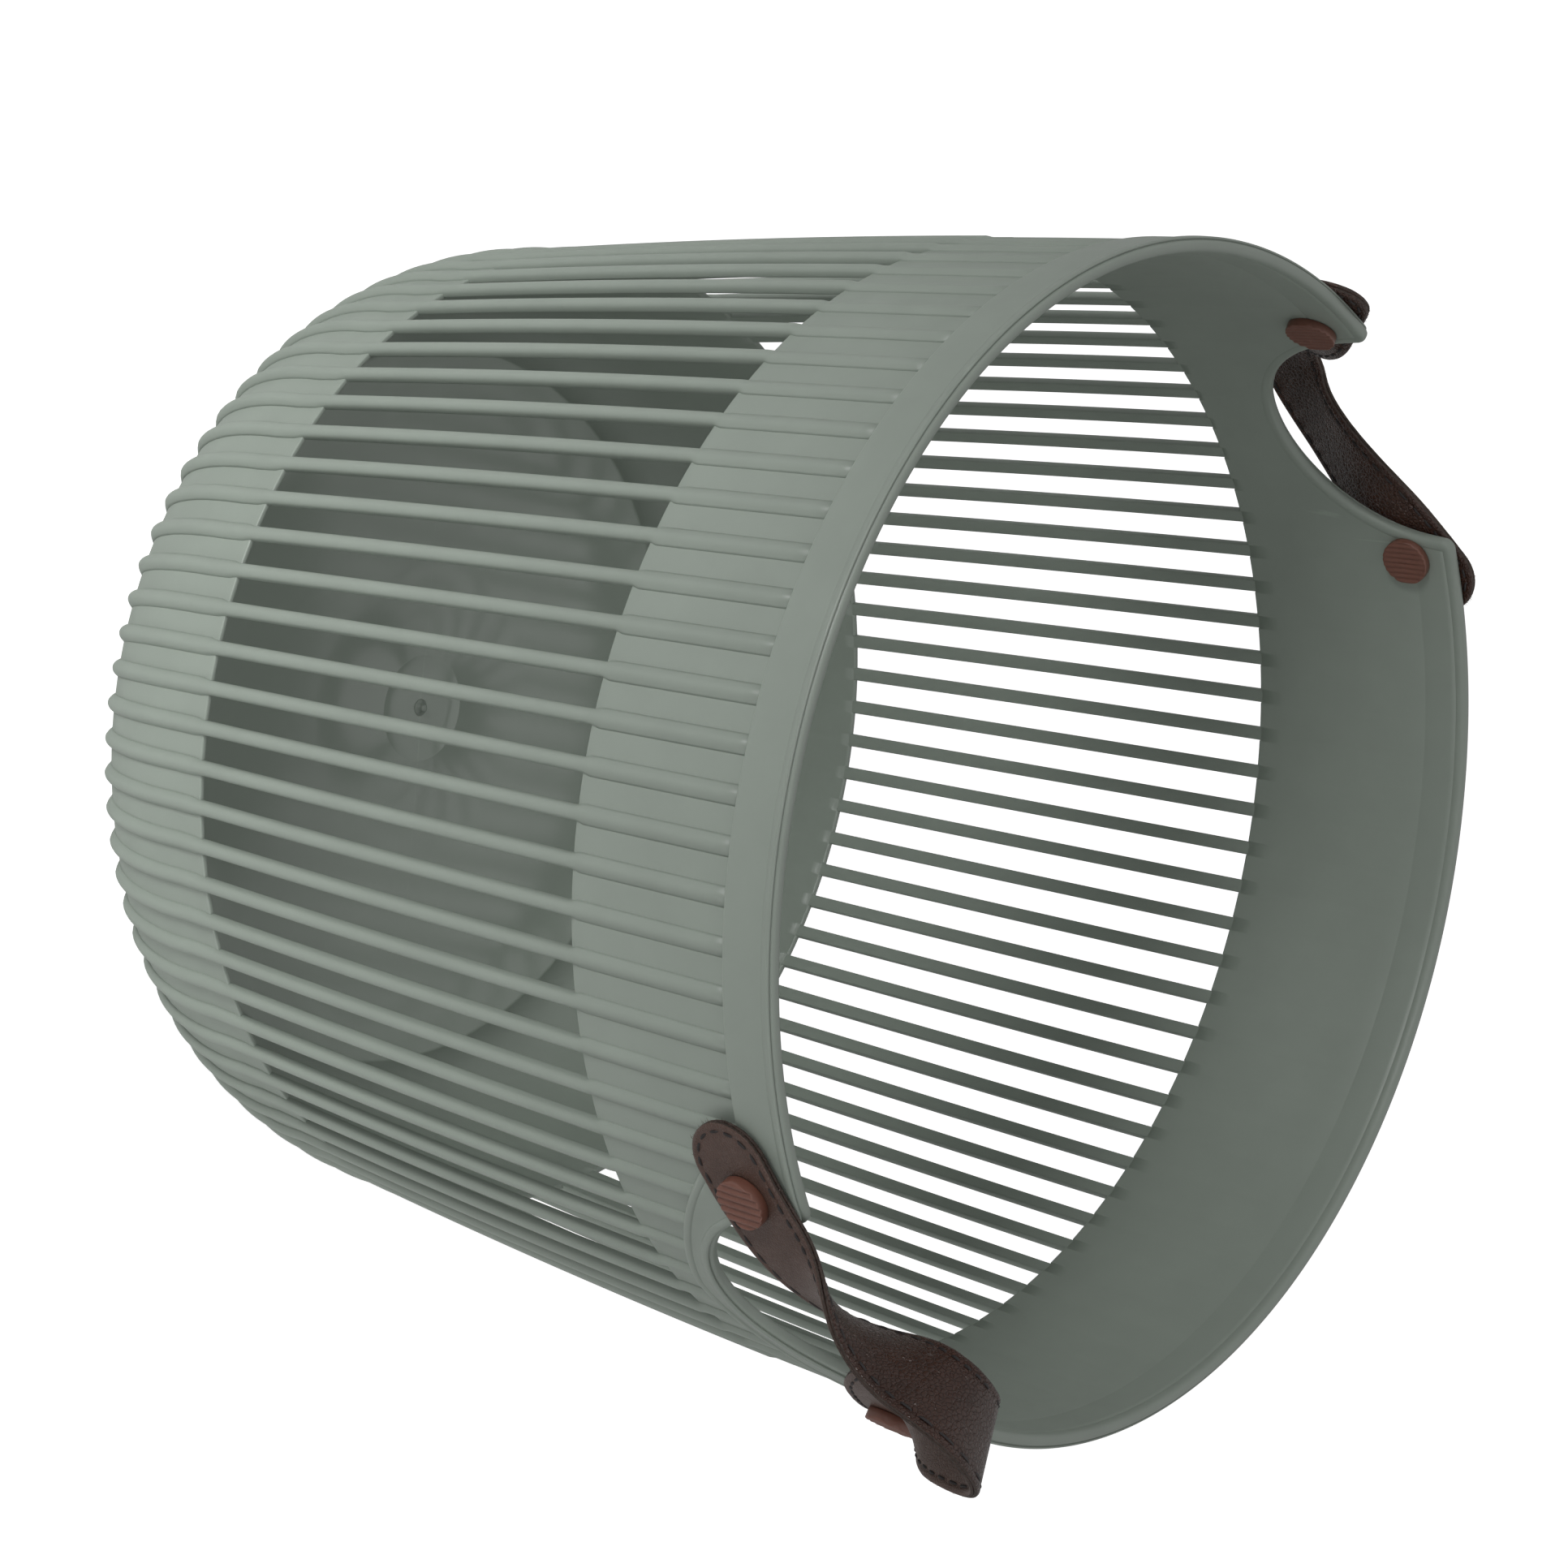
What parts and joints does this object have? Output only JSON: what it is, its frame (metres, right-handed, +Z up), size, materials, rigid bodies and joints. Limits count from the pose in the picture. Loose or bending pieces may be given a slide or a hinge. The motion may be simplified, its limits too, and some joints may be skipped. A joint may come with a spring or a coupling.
{
  "type": "storage basket",
  "caption": "Round slotted storage basket in ribbed moulded plastic, with a notched rim and a stitched leather strap handle held by ridged studs on each side.",
  "frame": {"origin": "centre of the flat base", "axes": "+Z up out of the mouth, +X towards the handle that hangs down, -X towards the handle that stands up"},
  "size_m": [0.41, 0.3524, 0.3567],
  "materials": {
    "sage_plastic": "satin moulded",
    "brown_leather": "smooth grain",
    "brown_lining": "pebbled grain",
    "russet_plastic": "semi-gloss moulded"
  },
  "bodies": {
    "basket": {"basket_body": "sage_plastic", "near_strap_left_end_leather": "brown_leather", "near_strap_left_end_lining": "brown_lining", "near_strap_right_end_leather": "brown_leather", "near_strap_right_end_lining": "brown_lining", "near_left_stud": "russet_plastic", "near_left_inner_cap": "russet_plastic", "near_right_stud": "russet_plastic", "near_right_inner_cap": "russet_plastic", "far_strap_left_end_leather": "brown_leather", "far_strap_left_end_lining": "brown_lining", "far_strap_right_end_leather": "brown_leather", "far_strap_right_end_lining": "brown_lining", "far_left_stud": "russet_plastic", "far_left_inner_cap": "russet_plastic", "far_right_stud": "russet_plastic", "far_right_inner_cap": "russet_plastic"},
    "near_loop": {"near_strap_loop_leather": "brown_leather", "near_strap_loop_lining": "brown_lining"},
    "far_loop": {"far_strap_loop_leather": "brown_leather", "far_strap_loop_lining": "brown_lining"}
  },
  "joints": [
    {"name": "near_swing", "type": "hinge", "parent": "basket", "child": "near_loop", "pos_m": [-0.16972, 0, 0.287], "axis": [0, -1, 0], "range_deg": [-45, 135]},
    {"name": "far_swing", "type": "hinge", "parent": "basket", "child": "far_loop", "pos_m": [0.16972, 0, 0.287], "axis": [0, -1, 0], "range_deg": [0, 150]}
  ]
}
